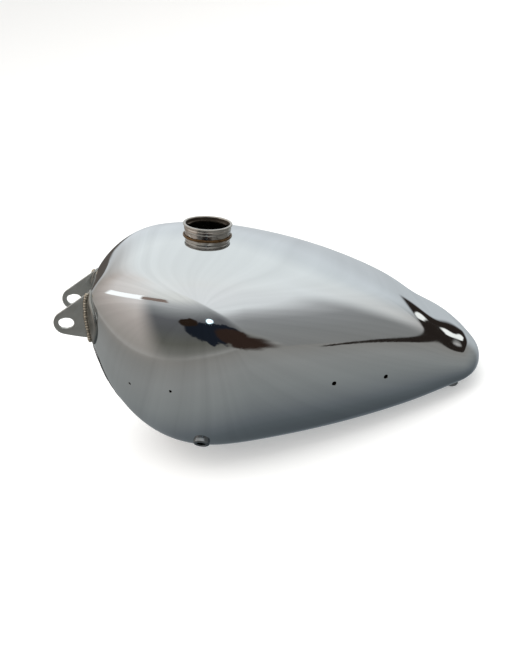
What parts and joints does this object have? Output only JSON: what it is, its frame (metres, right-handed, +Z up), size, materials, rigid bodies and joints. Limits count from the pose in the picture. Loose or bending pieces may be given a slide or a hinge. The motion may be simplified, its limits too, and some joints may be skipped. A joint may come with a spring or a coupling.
{
  "type": "motorcycle fuel tank",
  "caption": "Chromed pressed-steel saddle tank: pear-shaped halves seam-welded over a frame tunnel, bayonet filler neck, slotted front mounting ears and threaded bosses underneath.",
  "frame": {"origin": "centre of the bounding box's bottom face, on the surface the bare tank stands on", "axes": "+X from the nose to the tail, along the machine and pointing to its rear; +Y to the machine's right-hand side; +Z up, filler neck on top"},
  "size_m": [0.531, 0.2958, 0.29],
  "materials": {
    "chrome": "bright chrome plate over polished pressed steel",
    "chromed_neck": "chrome plate over a roughly beaded steel neck",
    "bare_neck": "thinly plated bronze-brown steel inside the neck",
    "satin_steel": "satin grey plated plate, unpolished",
    "weld_bead": "hand-laid weld bead, lumpy, half bright",
    "inner_steel": "dark unpolished steel"
  },
  "bodies": {
    "root": {"filler_neck": "chromed_neck", "neck_ring": "chromed_neck", "bayonet_ring": "bare_neck", "tunnel": "inner_steel", "tunnel_weld": "chrome", "seam_weld_front": "chrome", "seam_weld_rear": "chrome", "left_ear": "satin_steel", "left_ear_shoe": "satin_steel", "left_ear_weld": "weld_bead", "left_tap_boss": "chrome", "left_rear_boss": "chrome", "left_badge_bush_front": "inner_steel", "left_badge_bush_rear": "inner_steel", "left_grip_bush_front": "inner_steel", "left_grip_bush_rear": "inner_steel", "left_baffle": "inner_steel", "left_shell": "chrome", "right_ear": "satin_steel", "right_ear_shoe": "satin_steel", "right_ear_weld": "weld_bead", "right_tap_boss": "chrome", "right_rear_boss": "chrome", "right_badge_bush_front": "inner_steel", "right_badge_bush_rear": "inner_steel", "right_grip_bush_front": "inner_steel", "right_grip_bush_rear": "inner_steel", "right_baffle": "inner_steel", "right_shell": "chrome"}
  },
  "joints": []
}
